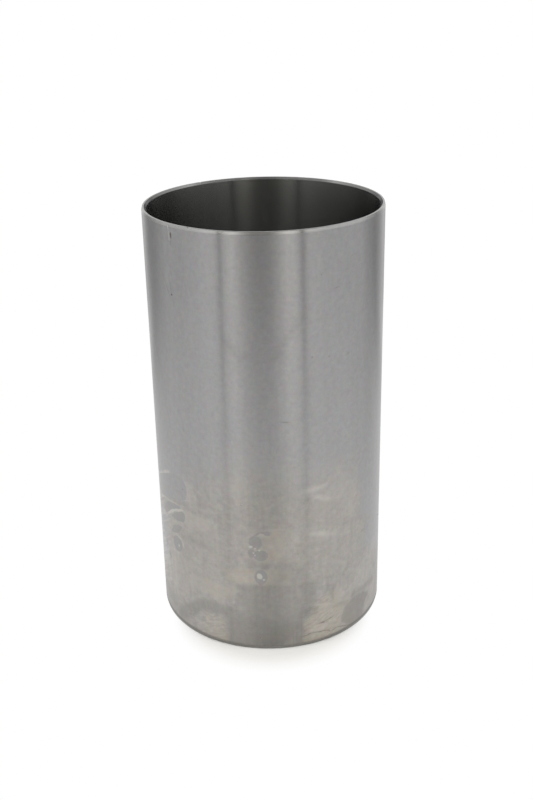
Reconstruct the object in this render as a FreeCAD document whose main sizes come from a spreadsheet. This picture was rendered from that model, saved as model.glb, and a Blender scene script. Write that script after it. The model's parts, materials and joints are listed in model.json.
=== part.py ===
"""A dry cylinder liner for a diesel engine: one thin, straight, flangeless tube, ground all over outside.

The liner stands on its lower end, with the origin at the middle of that end and +Z along the bore.
It is pressed into the cylinder block, and a piston runs in its bore.

Outside, both ends have a shallow lead-in taper, so that either end starts into the block without scraping.
Inside, the upper end has a 45 degree chamfer and, below it, a long shallow taper that closes the piston rings
as they go in. The lower end has a plain 45 degree chamfer.
"""
import FreeCAD, Part
import os

import Sketcher

NODE = "cylinder_liner"

# Driving dimensions, in millimetres: name, value, what it is
SIZES = [
    ("bore_diameter", "108", "finished bore that the piston runs in"),
    ("wall_thickness", "2.25", "from the bore to the ground outside, which is a press fit in the block"),
    ("liner_length", "208.5", "overall, end face to end face"),
    ("lead_in_length", "1.5", "outside taper at each end, along the axis"),
    ("lead_in_depth", "0.35", "outside taper at each end, taken off the radius"),
    ("top_bore_chamfer", "1", "45 degree chamfer at the upper mouth of the bore"),
    ("ring_taper_length", "3", "shallow taper below that chamfer, along the axis"),
    ("ring_taper_depth", "0.08", "shallow taper below that chamfer, added to the radius"),
    ("bottom_bore_chamfer", "1", "45 degree chamfer at the lower mouth of the bore"),
]

# Heights and radii that the outlines share, as expressions on the sheet
BORE_WALL = "Sizes.bore_diameter / 2"
OUTER_WALL = "Sizes.bore_diameter / 2 + Sizes.wall_thickness"
LEAD_IN_EDGE = "Sizes.bore_diameter / 2 + Sizes.wall_thickness - Sizes.lead_in_depth"
RING_TAPER_EDGE = "Sizes.bore_diameter / 2 + Sizes.ring_taper_depth"
TOP_MOUTH_EDGE = "Sizes.bore_diameter / 2 + Sizes.ring_taper_depth + Sizes.top_bore_chamfer"
BOTTOM_END = "0"
TOP_END = "Sizes.liner_length"
LOWER_LEAD_IN_END = "Sizes.lead_in_length"
UPPER_LEAD_IN_END = "Sizes.liner_length - Sizes.lead_in_length"
TOP_CHAMFER_FOOT = "Sizes.liner_length - Sizes.top_bore_chamfer"
RING_TAPER_FOOT = "Sizes.liner_length - Sizes.top_bore_chamfer - Sizes.ring_taper_length"

# Half-section of the plain tube, and the rings that are turned off it, each as (radius, height) corners
TUBE_WALL = [
    (BORE_WALL, BOTTOM_END),
    (OUTER_WALL, BOTTOM_END),
    (OUTER_WALL, TOP_END),
    (BORE_WALL, TOP_END),
]
UPPER_LEAD_IN = [
    (OUTER_WALL, UPPER_LEAD_IN_END),
    (OUTER_WALL, TOP_END),
    (LEAD_IN_EDGE, TOP_END),
]
LOWER_LEAD_IN = [
    (OUTER_WALL, BOTTOM_END),
    (OUTER_WALL, LOWER_LEAD_IN_END),
    (LEAD_IN_EDGE, BOTTOM_END),
]
TOP_MOUTH = [
    (BORE_WALL, RING_TAPER_FOOT),
    (RING_TAPER_EDGE, TOP_CHAMFER_FOOT),
    (TOP_MOUTH_EDGE, TOP_END),
    (BORE_WALL, TOP_END),
]


def make_sheet(doc):
    """The spreadsheet of driving dimensions, one row each."""
    sheet = doc.addObject("Spreadsheet::Sheet", "Sizes")
    for row, (name, value, meaning) in enumerate(SIZES, start=1):
        sheet.set(f"A{row}", name)
        sheet.set(f"B{row}", value)
        sheet.set(f"C{row}", meaning)
        sheet.setAlias(f"B{row}", name)
    doc.recompute()
    return sheet


def origin_feature(body, role):
    """The body's own origin plane or axis with that role."""
    return next(f for f in body.Origin.OriginFeatures if f.Role == role)


def make_section_sketch(body, name, outlines):
    """A sketch on the body's XZ plane that holds closed outlines, with every corner bound to the sheet."""
    sketch = body.newObject("Sketcher::SketchObject", name)
    sketch.AttachmentSupport = [(origin_feature(body, "XZ_Plane"), "")]
    sketch.MapMode = "FlatFace"
    for corners in outlines:
        add_outline(sketch, corners)
    return sketch


def add_outline(sketch, corners):
    """Adds one closed outline whose corners are (radius, height) expressions."""
    first = sketch.GeometryCount
    count = len(corners)
    points = [
        FreeCAD.Vector(sketch.evalExpression(radius), sketch.evalExpression(height), 0)
        for radius, height in corners
    ]
    for k in range(count):
        sketch.addGeometry(Part.LineSegment(points[k], points[(k + 1) % count]), False)
    for k in range(count):
        following = first + (k + 1) % count
        sketch.addConstraint(Sketcher.Constraint("Coincident", first + k, 2, following, 1))
    for k, (radius, height) in enumerate(corners):
        bind_corner(sketch, first + k, "DistanceX", points[k].x, radius)
        bind_corner(sketch, first + k, "DistanceY", points[k].y, height)


def bind_corner(sketch, line, direction, value, expression):
    """Ties the start of a line to the sketch's origin by one expression, or to the horizontal axis where it is 0."""
    if expression == BOTTOM_END:
        sketch.addConstraint(Sketcher.Constraint("PointOnObject", line, 1, -1))
        return
    index = sketch.addConstraint(Sketcher.Constraint(direction, -1, 1, line, 1, value))
    sketch.setExpression(f"Constraints[{index}]", expression)


def turn(body, kind, name, sketch):
    """A Revolution that adds, or a Groove that takes away, the sketch's outlines turned once round the bore's axis."""
    feature = body.newObject(kind, name)
    feature.Profile = sketch
    feature.ReferenceAxis = (sketch, ["V_Axis"])
    feature.Angle = 360
    sketch.Visibility = False
    return feature


def bore_edge_at_the_bottom(shape, radius):
    """The name of the circular edge where the bore meets the lower end face."""
    for number, edge in enumerate(shape.Edges, start=1):
        curve = edge.Curve
        on_the_end = isinstance(curve, Part.Circle) and abs(curve.Center.z) < 1e-6
        if on_the_end and abs(curve.Radius - radius) < 1e-6:
            return f"Edge{number}"
    raise RuntimeError("the lower mouth of the bore has no edge to chamfer")


def make_liner(doc):
    """The liner: a plain tube, its lead-in tapers, the upper mouth of the bore, and the lower chamfer."""
    body = doc.addObject("PartDesign::Body", NODE)
    body.Label = NODE

    wall_section = make_section_sketch(body, "wall_section", [TUBE_WALL])
    turn(body, "PartDesign::Revolution", "plain_tube", wall_section)

    lead_in_section = make_section_sketch(body, "lead_in_section", [UPPER_LEAD_IN, LOWER_LEAD_IN])
    turn(body, "PartDesign::Groove", "lead_in_tapers", lead_in_section)

    mouth_section = make_section_sketch(body, "mouth_section", [TOP_MOUTH])
    top_mouth = turn(body, "PartDesign::Groove", "upper_bore_mouth", mouth_section)
    doc.recompute()

    chamfer = body.newObject("PartDesign::Chamfer", "lower_bore_chamfer")
    edge = bore_edge_at_the_bottom(top_mouth.Shape, body.evalExpression(BORE_WALL))
    chamfer.Base = (top_mouth, [edge])
    chamfer.setExpression("Size", "Sizes.bottom_bore_chamfer")
    body.Tip = chamfer
    body.Placement = FreeCAD.Placement()
    doc.recompute()
    return body


def check_document(doc, bodies):
    """Stops the build if any object failed, or if a finished piece isn't one sound solid."""
    for item in doc.Objects:
        if "Invalid" in item.State or "Error" in item.State:
            raise RuntimeError(f"{item.Label} failed to compute: {item.State}")
    for body in bodies:
        if body.Shape.isNull() or not body.Shape.isValid() or len(body.Shape.Solids) != 1:
            raise RuntimeError(f"{body.Label} isn't one valid solid")


def main():
    doc = FreeCAD.newDocument("CylinderLiner")
    make_sheet(doc)
    bodies = [make_liner(doc)]
    check_document(doc, bodies)
    os.makedirs("parts", exist_ok=True)
    for body in bodies:
        body.Shape.exportStep(f"parts/{body.Label}.step")
        print(body.Label, "volume", round(body.Shape.Volume, 1), "mm3, box", body.Shape.BoundBox)


main()
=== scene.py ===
"""A dry cylinder liner, standing on its end in a white light tent.

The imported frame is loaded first. One operator turns the liner and gives it its ground, oily finish,
and a second one sets the floor, the tent, the lamps and the camera round it.
"""
import json
import math
from collections import namedtuple

import bpy
from bpy.props import FloatProperty, FloatVectorProperty, IntProperty, PointerProperty
from mathutils import Matrix, Vector


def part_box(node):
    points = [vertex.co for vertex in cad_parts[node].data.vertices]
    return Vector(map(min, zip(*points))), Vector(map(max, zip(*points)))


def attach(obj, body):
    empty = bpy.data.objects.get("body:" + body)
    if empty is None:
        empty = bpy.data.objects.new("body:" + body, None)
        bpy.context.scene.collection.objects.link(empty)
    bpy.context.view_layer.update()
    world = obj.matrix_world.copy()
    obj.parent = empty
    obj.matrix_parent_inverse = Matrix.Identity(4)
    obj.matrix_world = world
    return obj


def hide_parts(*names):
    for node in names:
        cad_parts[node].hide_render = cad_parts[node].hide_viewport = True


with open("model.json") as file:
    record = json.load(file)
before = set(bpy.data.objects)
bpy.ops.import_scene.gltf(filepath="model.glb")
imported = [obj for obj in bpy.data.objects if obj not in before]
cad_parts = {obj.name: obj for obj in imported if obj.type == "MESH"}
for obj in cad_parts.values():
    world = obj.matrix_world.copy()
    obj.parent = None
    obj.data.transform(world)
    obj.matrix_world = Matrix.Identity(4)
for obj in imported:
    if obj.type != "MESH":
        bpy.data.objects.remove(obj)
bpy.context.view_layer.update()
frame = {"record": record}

bl_info = {
    "name": "Dry cylinder liner",
    "version": (1, 0),
    "blender": (4, 5, 0),
    "location": "3D View > Sidebar > Liner",
    "description": "Turns a thin-walled dry cylinder liner and sets it in a white light tent",
    "category": "Object",
}

NODE = "cylinder_liner"
BODY = "root"
PIECE = "turned_liner"
MM = 0.001

MOUNTS = {mount["name"]: mount for mount in frame["record"]["mounts"]}
BORE = MOUNTS["bore"]["dims"]
WALL = MOUNTS["outside_wall"]["dims"]
LINER_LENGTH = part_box(NODE)[1].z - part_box(NODE)[0].z
LEAD_IN_LENGTH = (LINER_LENGTH - WALL["length_mm"] * MM) / 2

# Places on the outer wall are in millimetres: how far round it from the front, to the right, and how far up

# An oval: its middle, half its width and height, and how far it is turned anticlockwise, in degrees
Oval = namedtuple("Oval", "across up half_width half_height lean", defaults=(0,))

# A stain in the oil film: its tint, how much it covers, how far its edge is blurred, and its shapes, each an
# oval or a list of the corners of a convex outline, anticlockwise
Stain = namedtuple("Stain", "tint cover blur shapes")

# A pit or a nick: its azimuth from the front in degrees, then in millimetres the radius and height of its
# middle, its own radius and its depth, and which way it goes in, from 0 degrees, to the axis, to 90, down
Dent = namedtuple("Dent", "azimuth radius up size depth way", defaults=(0,))


def stroke(start, end, width):
    """A thin oval from one place to another, for scratches, cracks and strands."""
    run, rise = end[0] - start[0], end[1] - start[1]
    middle = ((start[0] + end[0]) / 2, (start[1] + end[1]) / 2)
    return Oval(*middle, math.hypot(run, rise) / 2, width / 2, math.degrees(math.atan2(rise, run)))


def wall_dent(across, up, size, depth):
    """A pit in the outer wall, placed round it in millimetres from the front."""
    return Dent(math.degrees(across / WALL["r_mm"]), WALL["r_mm"], up, size, depth)


PITS = [
    wall_dent(3.1, 106.8, 0.45, 0.10),
    wall_dent(-13.2, 79.5, 0.60, 0.14),
    wall_dent(-27.1, 34.9, 0.55, 0.12),
    wall_dent(-17.8, 20.8, 0.45, 0.10),
    wall_dent(-5.8, 6.0, 0.45, 0.10),
    wall_dent(74.5, 49.9, 0.55, 0.12),
    wall_dent(-46.6, 79.5, 0.50, 0.10),
]

# Nicks in the upper rim, on its land, its lead-in taper and its chamfer
RIM_NICKS = [
    Dent(-145.6, 55.8, 208.5, 0.8, 0.35, 60),
    Dent(164.4, 55.3, 208.5, 0.7, 0.30, 90),
    Dent(-47.3, 55.95, 207.1, 0.8, 0.30, 15),
    Dent(-35.4, 55.85, 208.4, 0.6, 0.25, 45),
    Dent(-19.2, 55.9, 208.3, 0.6, 0.25, 45),
    Dent(55.7, 54.3, 207.7, 0.7, 0.25, 45),
]

# A pit has a row of faces this high above and below its middle, and near a dent's middle faces are cut up,
# out to this far and by this many cuts each
PIT_ROW = 1.2
CUT_REACH = 1.5
CUTS = 4

# Parts of the lower wall that the film doesn't reach, to the right and to the left
CLEAN_PARTS = [
    [(50, 62), (60, 56), (110, 50), (110, 120), (49, 120), (47.5, 82)],
    [(52, 44), (64, 36), (110, 20), (110, 60), (57, 57)],
    [(-110, 56), (-72, 64), (-46, 74), (-44, 84), (-50, 120), (-110, 120)],
    [(-110, 14), (-66, 30), (-62, 60), (-110, 66)],
]

# Wide tones of the film, each over those before it
WIDE_STAINS = [
    Stain("pale_film", 0.22, 5.0, [[(17, 57), (46, 57), (49, 70), (47.5, 84), (34, 97), (18, 97)]]),
    Stain("pale_film", 0.12, 3.0, [[(20, 66), (44, 63), (47, 70), (45, 84), (34, 89), (20, 88)]]),
    Stain("dry_film", 0.13, 3.0, [
        Oval(31, 81, 9, 3, -5), Oval(42, 70, 4, 6, 20), Oval(27, 61, 7, 2.5, -12),
    ]),
    Stain("pale_film", 0.2, 4.0, [
        [(18, 38), (46, 38), (50, 46), (50, 57), (18, 57)], Oval(-16, 87, 4.5, 4.5),
    ]),
    Stain("dry_film", 0.24, 3.0, [[(42, 23), (58, 22), (70, 34), (66, 42), (46, 33)]]),
    Stain("pale_film", 0.22, 5.0, [[(-62, 20), (-27, 24), (-26, 60), (-44, 72), (-62, 60)]]),
    Stain("dark_film", 0.08, 5.0, [[(2, 64), (11, 64), (11, 112), (2, 112)]]),
    Stain("yellow_film", 0.1, 8.0, [Oval(-4, 90, 10, 20)]),
    Stain("dry_film", 0.16, 2.0, [[(-67, 20), (-56, 20), (-56, 64), (-67, 60)]]),
    Stain("pale_film", 0.62, 2.0, [[(-50, 61), (-32, 61), (-28, 64), (-30, 67.5), (-50, 69)]]),
    Stain("pale_film", 0.12, 4.0, [Oval(-16, 92, 7, 14)]),
    Stain("pale_film", 0.24, 2.4, [[(-62, 17), (-47, 18), (-46, 25), (-54, 44), (-62, 40)]]),
    Stain("dark_film", 0.12, 1.6, [[(-50, 50.5), (-31, 51), (-32, 56), (-50, 55)]]),
    Stain("dark_film", 0.14, 4.0, [[(-90, -5), (-53, -5), (-52, 6), (-60, 14), (-90, 16)]]),
    Stain("pale_film", 0.26, 2.0, [[(-13, 49), (6, 48), (6, 66), (-10, 67)]]),
    Stain("yellow_film", 0.34, 2.2, [Oval(1.2, 60.5, 4.6, 6.3), Oval(-1, 53.5, 6, 4.5)]),
    Stain("yellow_film", 0.12, 4.0, [Oval(7, 56, 7, 10)]),
    Stain("dark_film", 0.14, 1.6, [
        [(-12, 45.6), (0, 45.6), (-1, 49), (-11, 49)], [(1, 46), (13, 45), (12, 52), (3, 51)],
    ]),
    Stain("yellow_film", 0.46, 1.5, [
        [(-22, 37.5), (-12, 36.6), (-3, 36.3), (0, 38.5), (-1, 44.5), (-12, 45), (-22, 43.5)],
    ]),
    Stain("dry_film", 0.18, 1.5, [Oval(-11, 40.3, 3.5, 2.2, 20), Oval(-18, 40, 2.5, 1.2, 15)]),
    Stain("yellow_film", 0.4, 2.4, [[(-2, 36.2), (9, 36.2), (8, 44), (-2, 44)]]),
    Stain("dark_film", 0.22, 3.0, [[(2, 37), (18, 36), (18, 46), (4, 47)]]),
    # The next dark stains, low in the middle front, are partly real dark film and partly painted shade: the
    # floor's shadow at the foot, as the wall reflects it
    Stain("dark_film", 0.23, 1.2, [
        [(-18.5, 20), (22, 18), (22.5, 36), (-16.5, 36.2)],
        [(-23, -9), (14.7, -9), (14.9, 13), (22, 21), (-21, 22)],
    ]),
    Stain("dark_film", 0.3, 1.6, [[(10, -9), (20, -9), (19, 8), (12, 13)]]),
    Stain("dark_film", 0.22, 5.0, [[(-25, -9), (17, -9), (17, 12), (21, 17), (-24, 18)]]),
    Stain("dark_film", 0.13, 9.0, [Oval(3, 14, 16, 24)]),
    Stain("dark_film", 0.24, 5.0, [Oval(5, 3, 11, 10)]),
    Stain("pale_film", 0.3, 1.6, [
        [(-46, 27), (-26, 26), (-18.5, 28.5), (-16.3, 31.5), (-18.5, 34.5), (-26, 35), (-46, 34)],
    ]),
    Stain("yellow_film", 0.36, 2.0, [
        [(-36, 28), (-26, 26), (-18.5, 28.5), (-16.8, 31.5), (-18.5, 34.5), (-36, 34)],
    ]),
    Stain("dark_film", 0.14, 2.5, [[(-62, -9), (-38, -9), (-42, 5), (-56, 8)]]),
    Stain("dark_film", 0.32, 1.8, [
        [(-55, 4), (-47, 5), (-40, 12), (-34, 17), (-34, 22.5), (-44, 19.5), (-50, 13.5), (-55, 10)],
        [(-38, 15.5), (-22, 17), (-20, 22), (-32, 23.5), (-38, 22)],
    ]),
    Stain("yellow_film", 0.12, 3.0, [[(-46, -9), (-23, -9), (-23, 8), (-38, 10)]]),
    Stain("yellow_film", 0.28, 0.9, [[(-36, -9), (-22.8, -9), (-22.6, 11), (-26, 16), (-35, 14.5)]]),
    Stain("yellow_film", 0.3, 2.4, [[(14.7, -9), (48, -9), (46, 14), (37, 27), (25, 27), (14.7, 12)]]),
    Stain("yellow_film", 0.3, 1.2, [
        [(15, -9), (39, -9), (37, 10), (40, 17), (32, 25), (24, 23), (16, 14)],
    ]),
    Stain("dry_film", 0.22, 1.0, [
        Oval(28, 19.6, 3.5, 1.4, -10), Oval(36, 23, 2.2, 3.5, -20), Oval(23, 8.5, 6, 2.0, 15),
    ]),
    Stain("dark_film", 0.2, 1.0, [
        [(13, 16.4), (20, 15.8), (23, 17), (23, 20.5), (16, 22), (13, 21)],
        Oval(36.5, 17.4, 5.5, 1.0, -10),
    ]),
    Stain("dark_film", 0.24, 1.0, [
        Oval(29.4, 30.3, 1.0, 3.2, 15), Oval(32.6, 29.4, 0.9, 2.6, -18), Oval(31, 25.2, 1.1, 3.2),
    ]),
    Stain("dark_film", 0.3, 0.7, [
        [
            (37, 6.5), (45, 1.0), (52, 2.5), (55.5, 7.5), (58.5, 12.5), (55.5, 16), (47, 17.6),
            (42, 16.5), (37.6, 12), (36.6, 9),
        ],
    ]),
    Stain("dark_film", 0.16, 3.0, [[(38, 6), (45, 0), (56, 2), (60, 12), (54, 17), (42, 17)]]),
    Stain("dark_film", 0.22, 1.3, [[(43, 17.8), (66, 16.4), (66, 19.4), (44, 21.2)]]),
    Stain("dark_film", 0.14, 2.5, [[(67, -5), (90, -5), (90, 26), (72, 24), (67, 12)]]),
    Stain("dry_film", 0.2, 1.2, [Oval(58, 7.0, 4.3, 1.7, 8)]),
    Stain("pale_film", 0.26, 1.6, [[(57, 9.5), (68, 9.5), (68, 16), (62, 16.4)]]),
    Stain("dark_film", 0.34, 0.9, [Oval(-66.8, 41.5, 1.2, 1.5), Oval(-63, 36, 0.9, 1.5, -20)]),
]

# Strands, lenses and puddles that dried pale, with crisp edges
PALE_STAINS = [
    Stain("dry_film", 0.7, 0.8, [
        stroke((-77, 74.8), (-63, 82), 1.4), stroke((-66, 80.6), (-58.3, 84.2), 2.2),
    ]),
    Stain("dry_film", 0.58, 0.6, [
        stroke((-75, 63.5), (-59, 70.6), 1.4), stroke((-60, 70.2), (-45, 74.3), 1.0),
        stroke((-64, 67.4), (-50, 69.4), 0.8),
    ]),
    Stain("dry_film", 0.24, 1.6, [[(-44.5, 73), (-39, 73), (-37.5, 79), (-41, 84), (-46.5, 86.5)]]),
    Stain("dry_film", 0.58, 0.6, [
        stroke((-54, 51.6), (-49.2, 50.4), 0.9), stroke((-49.3, 50.3), (-48, 46.5), 1.0),
    ]),
    Stain("dry_film", 0.26, 0.8, [
        stroke((-59, 57.5), (-50.5, 59.4), 1.2), stroke((-57.5, 41.3), (-51, 41.6), 0.9),
    ]),
    Stain("dry_film", 0.3, 0.8, [
        stroke((-57.4, 22), (-57.0, 42), 1.6), stroke((-54, 37), (-53.6, 42), 0.9),
    ]),
    Stain("dry_film", 0.3, 0.8, [Oval(-64.6, 38.6, 0.8, 1.6, -20), Oval(-60.5, 33, 0.8, 1.8, -30)]),
    Stain("dry_film", 0.5, 1.6, [Oval(20.5, 85.5, 4.4, 1.0, 6), Oval(26.5, 79.8, 3.0, 0.9, -22)]),
    Stain("dry_film", 0.3, 1.1, [
        stroke((24, 86), (28, 87), 0.9), Oval(23, 81.4, 2.4, 0.7, -12), Oval(30, 59.2, 2.6, 1.2),
    ]),
    Stain("dry_film", 0.52, 1.2, [Oval(25.5, 60.8, 3.4, 1.5, -15), Oval(21, 62.2, 2.0, 1.0)]),
    Stain("yellow_film", 0.42, 0.5, [stroke((-12.6, 61), (-11.6, 50), 0.9)]),
    Stain("dry_film", 0.26, 0.7, [
        stroke((-4, 66.9), (5, 66.6), 0.7), Oval(-4.0, 63.7, 1.8, 0.9, 20), Oval(0.5, 57.5, 1.6, 1.1),
    ]),
]

# Islands where the film has drawn back and left the ground iron bare
ISLANDS = [
    [(-73, 66), (-49, 72), (-45, 74.6), (-43.4, 79), (-44.6, 83), (-49, 86), (-58, 84), (-75, 76)],
    [(-68, 60.5), (-66, 58.3), (-62, 60), (-48.5, 68.4), (-54, 68.8), (-62, 66.8)],
    [(-58.5, 60.2), (-54, 59.8), (-47, 61.2), (-45.8, 63.5), (-46.3, 66.3), (-48.5, 67), (-52.5, 65)],
    [(-59, 51.6), (-54, 52), (-50.5, 54.8), (-48.6, 57.8), (-51.5, 58), (-57, 55.8)],
    Oval(-53.5, 46.6, 4.1, 4.2), Oval(-7.3, 59.6, 3.1, 3.7), Oval(-4.8, 52.8, 3.5, 2.9),
    Oval(-9.3, 53.9, 1.6, 2.5), stroke((-8.2, 63), (-5, 65.4), 1.2),
    stroke((-5.4, 65.3), (0.2, 64.9), 1.3), Oval(-1.6, 64.7, 1.5, 1.1), Oval(-5, 41, 3.1, 4.0),
    Oval(-5.2, 37.4, 1.0, 1.2),
]

# Pale specks and a pale puddle that stayed on the islands, and a strand between two of them
ISLAND_SPECKS = [
    Oval(-5.6, 41.4, 1.3, 1.7, 20), Oval(-3.6, 39.5, 0.5, 0.4), Oval(-9.6, 57.4, 1.0, 0.6),
    Oval(-7.5, 56.5, 0.5, 0.4), Oval(-5.4, 55.6, 0.5, 0.4), Oval(-8.3, 54.1, 0.4, 0.4),
    Oval(-7.6, 52.9, 0.3, 0.4), Oval(-52.4, 46, 0.5, 0.7), stroke((-62.5, 59.8), (-54, 65.4), 1.7),
    stroke((-56.5, 64.2), (-47.2, 67.8), 1.5),
]

# Fine dark cracks in the thick film near the lower end
CRACKS = [
    stroke((15.3, 5.4), (19.6, 6.5), 0.45), stroke((19.2, 6.5), (28.2, 5.5), 0.45),
    stroke((27.8, 5.6), (30, 4.1), 0.45), stroke((29.6, 4.1), (34.4, 5), 0.45),
    stroke((33.8, 5), (43, 2.4), 0.5), stroke((23.3, 10.8), (27.4, 11.3), 0.5),
    stroke((27, 11.2), (31.5, 12.3), 0.4), Oval(25.6, 10.7, 1.1, 0.4),
]

# Faint dark runs beside the cracks
RUNS = [
    stroke((9.8, 12), (10.3, 1), 0.5), stroke((11.6, 10), (11.8, 2), 0.4),
    stroke((14.3, 13), (14.2, 3), 0.5),
]

# Thick film near the lower end that dried in wrinkles, one patch on each side
WRINKLED_PARTS = [
    [(14.7, -9), (48, -9), (40, 5), (37, 12), (40, 18), (32, 29), (24, 29), (15, 16)],
    [(-48, -9), (-22.8, -9), (-22.8, 12), (-28, 16.5), (-48, 12)],
]

# Dull, brownish smudges on the clean upper wall
SMUDGES = [
    Oval(-17.3, 159.5, 2.2, 2.6), stroke((-18, 160.5), (-13, 153), 3.0),
    stroke((-12.5, 151), (-8.5, 154), 2.4), Oval(5.6, 154, 3.0, 3.2), stroke((4, 153), (11, 164), 3.0),
    stroke((9, 161), (17, 171.5), 2.0),
]

# Faint orange specks on it
ORANGE_SPECKS = [
    Oval(20.5, 151, 0.5, 0.45), Oval(29, 150, 0.6, 0.4), Oval(25, 188, 0.4, 0.4),
    Oval(33, 181, 1.2, 0.3, 8), Oval(40, 149, 0.5, 0.3),
]

# Rust spots: one in each pit, over this share of it, and two on the wall
RUSTY_SHARE = 0.58
SPOTS = [Oval(-44.9, 203.6, 0.5, 1.4, 4), Oval(-46.5, 176.5, 0.45, 0.4)] + [
    Oval(pit.azimuth * math.radians(WALL["r_mm"]), pit.up, pit.size * RUSTY_SHARE, pit.size * RUSTY_SHARE)
    for pit in PITS
]

# Scratches that show dark
SCRATCHES = [
    stroke((-65.7, 149.6), (-60.9, 138.8), 0.5), stroke((-47.2, 182), (-46.6, 177), 0.3),
    stroke((-45.3, 201.5), (-45.1, 199), 0.3), stroke((5.4, 121.7), (9.4, 121.2), 0.5),
    stroke((-51, 182), (-48, 176), 0.3), stroke((71.5, 51.5), (77, 48.5), 0.6),
]

# The marks that lie over the film's stains, each with how unevenly its outline runs
MARKS = [
    ("crisp", Stain("dry_film", 0.74, 0.25, ISLAND_SPECKS)),
    ("crisp", Stain("rust", 0.42, 0.25, CRACKS)),
    ("crisp", Stain("dark_film", 0.25, 0.4, RUNS)),
    ("loose", Stain("dark_film", 0.17, 2.0, SMUDGES)),
    ("plain", Stain("rust", 0.2, 0.3, ORANGE_SPECKS)),
    ("plain", Stain("dark_film", 0.5, 0.2, SCRATCHES)),
]


def length_prop(name, description, default):
    """A length in metres."""
    return FloatProperty(name=name, description=description, default=default, unit="LENGTH", precision=5)


def angle_prop(name, description, degrees):
    """An angle, whose default is given in degrees."""
    return FloatProperty(
        name=name, description=description, default=math.radians(degrees), subtype="ANGLE", unit="ROTATION",
    )


def share_prop(name, description, default):
    """A number from 0 to 1."""
    return FloatProperty(name=name, description=description, default=default, min=0, max=1)


def colour_prop(name, description, default):
    """A colour, as linear red, green and blue."""
    return FloatVectorProperty(
        name=name, description=description, subtype="COLOR", default=default, min=0, max=1,
    )


class LinerSizes(bpy.types.PropertyGroup):
    """Sizes of the turned liner."""

    bore_radius: length_prop("Bore radius", "Radius of the finished bore", BORE["r_mm"] * MM)
    outer_radius: length_prop("Outer radius", "Radius of the ground outside", WALL["r_mm"] * MM)
    length: length_prop("Length", "From end face to end face", LINER_LENGTH)
    lead_in_length: length_prop(
        "Lead-in length", "Outside taper at each end, along the axis", LEAD_IN_LENGTH,
    )
    lead_in_depth: length_prop("Lead-in depth", "Outside taper at each end, off the radius", 0.35 * MM)
    bore_chamfer: length_prop("Bore chamfer", "45 degree chamfer at both mouths of the bore", 1.0 * MM)
    ring_taper_length: length_prop(
        "Ring taper length", "Shallow taper below the upper chamfer, along the axis", 3.0 * MM,
    )
    ring_taper_depth: length_prop(
        "Ring taper depth", "Shallow taper below the upper chamfer, added to the radius", 0.08 * MM,
    )
    edge_break: length_prop(
        "Edge break", "How far the outer corners of the end faces are rounded back", 0.25 * MM,
    )
    steps: IntProperty(name="Steps", description="Faces round the liner", default=480, min=48, max=1024)
    row_height: length_prop("Row height", "Height of the rows of faces up the wall", 8.0 * MM)


class LinerFinish(bpy.types.PropertyGroup):
    """Colours and roughness of the iron, the oil film and the rust."""

    wall_iron: colour_prop("Ground wall", "Bare iron of the ground outside", (0.396, 0.392, 0.393))
    bore_iron: colour_prop("Bore", "Bare iron of the fine-bored inside", (0.27, 0.274, 0.262))
    edge_iron: colour_prop(
        "Turned edges", "Bare iron of the end faces, chamfers and lead-in tapers", (0.50, 0.50, 0.49),
    )
    warm_film: colour_prop(
        "Thin oil film", "Dried oil all over the lower half of the wall", (0.436, 0.417, 0.394),
    )
    pale_film: colour_prop("Pale film", "Thicker oil that dried pale and dull", (0.525, 0.492, 0.455))
    yellow_film: colour_prop("Yellow film", "Thick oil that yellowed", (0.505, 0.457, 0.385))
    # This colour is also laid as painted shade: along the foot and, in part, low in the middle front
    dark_film: colour_prop("Dark film", "Sticky oil that took up dirt", (0.195, 0.188, 0.174))
    dry_film: colour_prop(
        "Dry strands", "Crusted edges, strands and specks of the film", (0.62, 0.595, 0.555),
    )
    rust: colour_prop("Rust", "Spots and pits", (0.06, 0.028, 0.016))
    film_height: length_prop("Film height", "How far up the wall the oil film reaches", 102 * MM)
    ground_roughness: share_prop("Ground roughness", "Roughness of the ground wall", 0.29)
    bore_roughness: share_prop("Bore roughness", "Roughness of the fine-bored inside", 0.24)
    edge_roughness: share_prop("Edge roughness", "Roughness of the turned edges", 0.24)
    grain: share_prop("Grain", "How far highlights stretch across the turning and grinding lines", 1.0)


class LinerStudio(bpy.types.PropertyGroup):
    """The camera, the floor and the light tent."""

    camera_distance: length_prop("Camera distance", "From the bore's axis, along the floor", 0.5002)
    camera_height: length_prop("Camera height", "Above the floor", 0.3228)
    camera_pitch: angle_prop("Camera pitch", "How far the camera looks down", 23.184)
    camera_roll: angle_prop("Camera roll", "How far the camera leans to the right", 1.273)
    camera_turn: angle_prop("Camera turn", "How far the camera turns to the left", 0.062)
    camera_lens: FloatProperty(
        name="Camera lens", description="Focal length in millimetres on a 36 mm frame", default=49.14,
    )
    floor_radius: length_prop("Floor radius", "Half the width of the floor", 6.0)
    tent_radius: length_prop("Tent radius", "From the bore's axis to the tent's cloth", 0.5)
    tent_height: length_prop("Tent height", "From the floor to the tent's roof", 0.9)


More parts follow.
